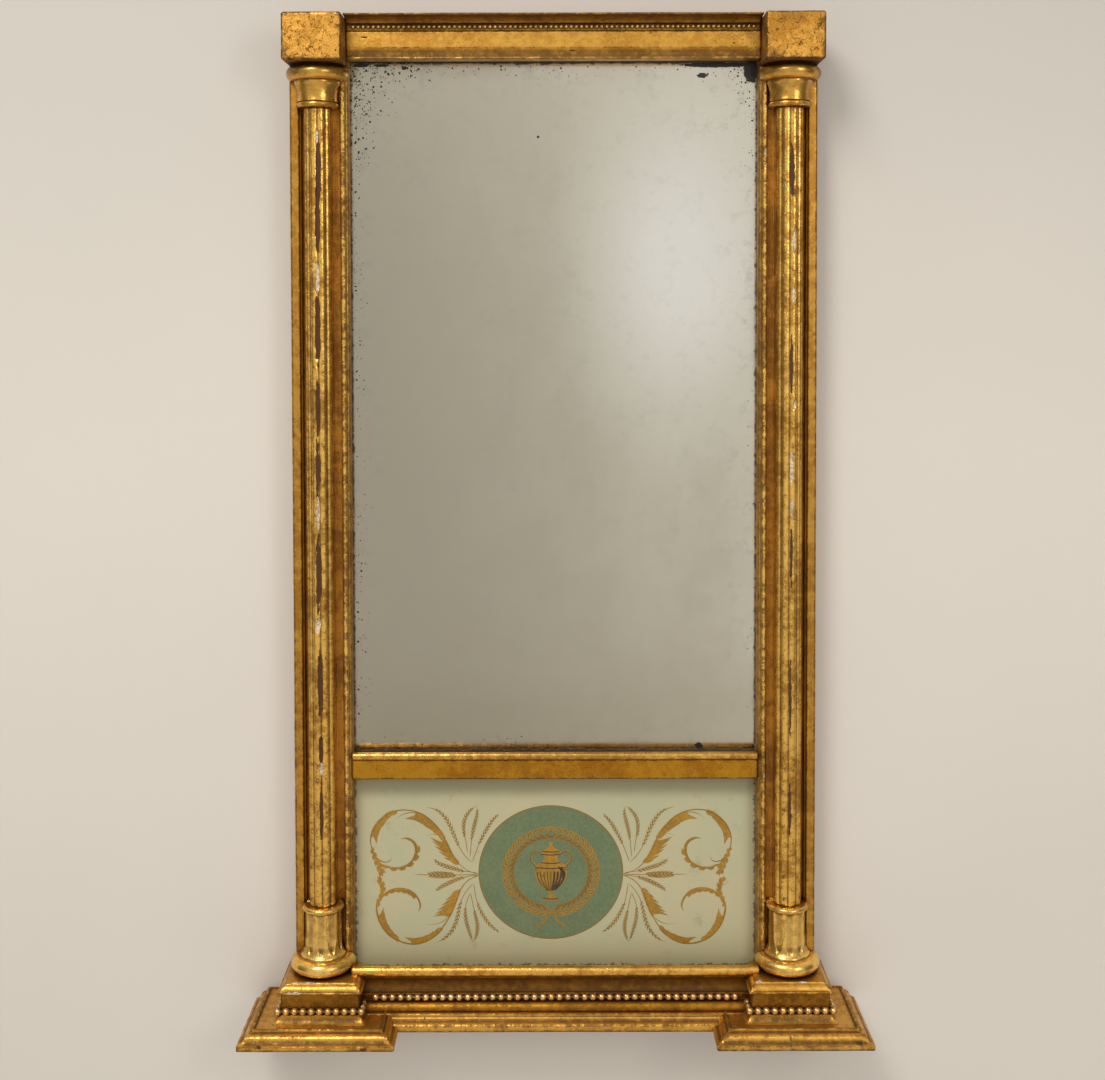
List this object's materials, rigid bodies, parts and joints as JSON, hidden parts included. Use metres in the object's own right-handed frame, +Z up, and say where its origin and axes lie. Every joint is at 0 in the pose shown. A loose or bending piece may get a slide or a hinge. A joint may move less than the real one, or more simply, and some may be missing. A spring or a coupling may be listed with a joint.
{
  "type": "trumeau mirror",
  "caption": "Gilt wall mirror with half columns on plinths, corner blocks, a beaded frieze, and a painted glass panel under the mirror plate.",
  "frame": {"origin": "middle of the lower edge of the bottom rail's back face, where the mirror lies against the wall, level with the undersides of its plinths", "axes": "+Z up along the columns, +Y backwards into the wall, +X to the right as one looks at the mirror"},
  "size_m": [0.711, 0.1174, 1.157],
  "materials": {
    "gilt_moulding": "water-gilded gesso on wood, worn to red and brown ground on edges",
    "gilt_column": "gilded reeding with a long crack and small losses to the white gesso",
    "gilt_beads": "gilded turned beads, bright on their fronts and dark between",
    "silvered_glass": "old silvering, foxed black at the corners and edges",
    "painted_glass": "glass painted on its back in celadon, teal and gold",
    "pine_carcass": "bare aged pine",
    "pine_boards": "rough-sawn aged pine boards",
    "brass_fittings": "dull, unpolished",
    "iron_fasteners": "dark, slightly rusty iron"
  },
  "bodies": {
    "frame": {"backboard_nails": "iron_fasteners", "base_rail_beads": "gilt_beads", "base_rail_cove": "gilt_moulding", "base_rail_foot": "gilt_moulding", "base_rail_torus": "gilt_moulding", "bottom_rail": "pine_carcass", "cross_rail": "pine_carcass", "cross_rail_band": "gilt_moulding", "cross_rail_sight_moulding": "gilt_moulding", "frieze_beads": "gilt_beads", "frieze_board": "gilt_moulding", "frieze_cornice": "gilt_moulding", "hanger_screws": "iron_fasteners", "joint_pegs": "pine_carcass", "left_capital": "gilt_moulding", "left_column_base": "gilt_moulding", "left_column_shaft": "gilt_column", "left_corner_block": "gilt_moulding", "left_inner_band": "gilt_moulding", "left_outer_band": "gilt_moulding", "left_plinth_beads": "gilt_beads", "left_plinth_cap": "gilt_moulding", "left_plinth_die": "gilt_moulding", "left_plinth_foot": "gilt_moulding", "left_plinth_ovolo": "gilt_moulding", "left_ring_plate": "brass_fittings", "left_stile": "pine_carcass", "mirror_backboard_1": "pine_boards", "mirror_backboard_2": "pine_boards", "mirror_backboard_3": "pine_boards", "mirror_glass": "silvered_glass", "painted_glass_panel": "painted_glass", "panel_backboard": "pine_boards", "right_capital": "gilt_moulding", "right_column_base": "gilt_moulding", "right_column_shaft": "gilt_column", "right_corner_block": "gilt_moulding", "right_inner_band": "gilt_moulding", "right_outer_band": "gilt_moulding", "right_plinth_beads": "gilt_beads", "right_plinth_cap": "gilt_moulding", "right_plinth_die": "gilt_moulding", "right_plinth_foot": "gilt_moulding", "right_plinth_ovolo": "gilt_moulding", "right_ring_plate": "brass_fittings", "right_stile": "pine_carcass", "top_rail": "pine_carcass"},
    "left_ring": {"left_ring": "brass_fittings"},
    "right_ring": {"right_ring": "brass_fittings"}
  },
  "joints": [
    {"name": "left_ring_hinge", "type": "hinge", "parent": "frame", "child": "left_ring", "pos_m": [-0.279, 0.0032, 1.04], "axis": [1, 0, 0], "range_deg": [0, 175]},
    {"name": "right_ring_hinge", "type": "hinge", "parent": "frame", "child": "right_ring", "pos_m": [0.279, 0.0032, 1.04], "axis": [1, 0, 0], "range_deg": [0, 175]}
  ]
}
